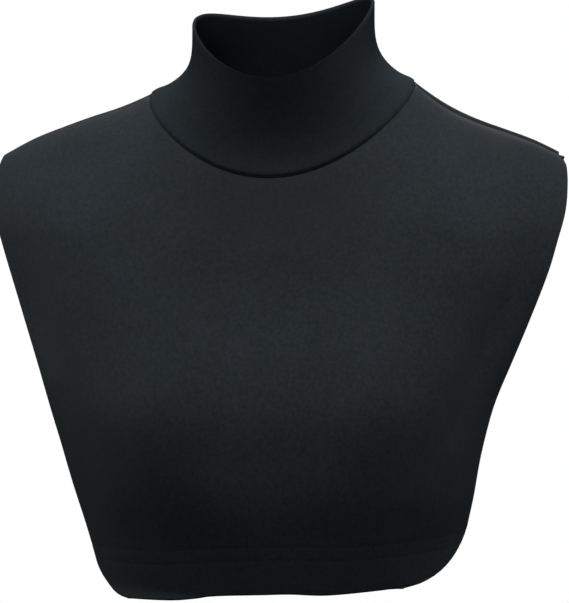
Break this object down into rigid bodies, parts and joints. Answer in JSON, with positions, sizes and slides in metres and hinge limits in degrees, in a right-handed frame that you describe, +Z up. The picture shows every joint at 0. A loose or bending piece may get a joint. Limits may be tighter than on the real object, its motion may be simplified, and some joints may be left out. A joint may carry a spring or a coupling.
{
  "type": "turtleneck dickey",
  "caption": "Sleeveless black jersey dickey with a folded mock turtleneck collar, in its worn form: front and back panels joined at the shoulders, open at the sides and hemmed below.",
  "frame": {"origin": "middle of the neck opening, level with the shoulder line beside the neck, where the dickey sits on the shoulders", "axes": "+Z up along the neck, the front panel faces -Y, +X is the right side as seen from the front"},
  "size_m": [0.3784, 0.2312, 0.3934],
  "materials": {
    "panel_jersey": "matte",
    "collar_jersey": "matte",
    "seam_allowance": "matte"
  },
  "bodies": {
    "root": {"front_panel": "panel_jersey", "back_panel": "panel_jersey", "collar": "collar_jersey", "neck_seam": "seam_allowance", "shoulder_seam_left": "seam_allowance", "shoulder_seam_right": "seam_allowance"}
  },
  "joints": []
}
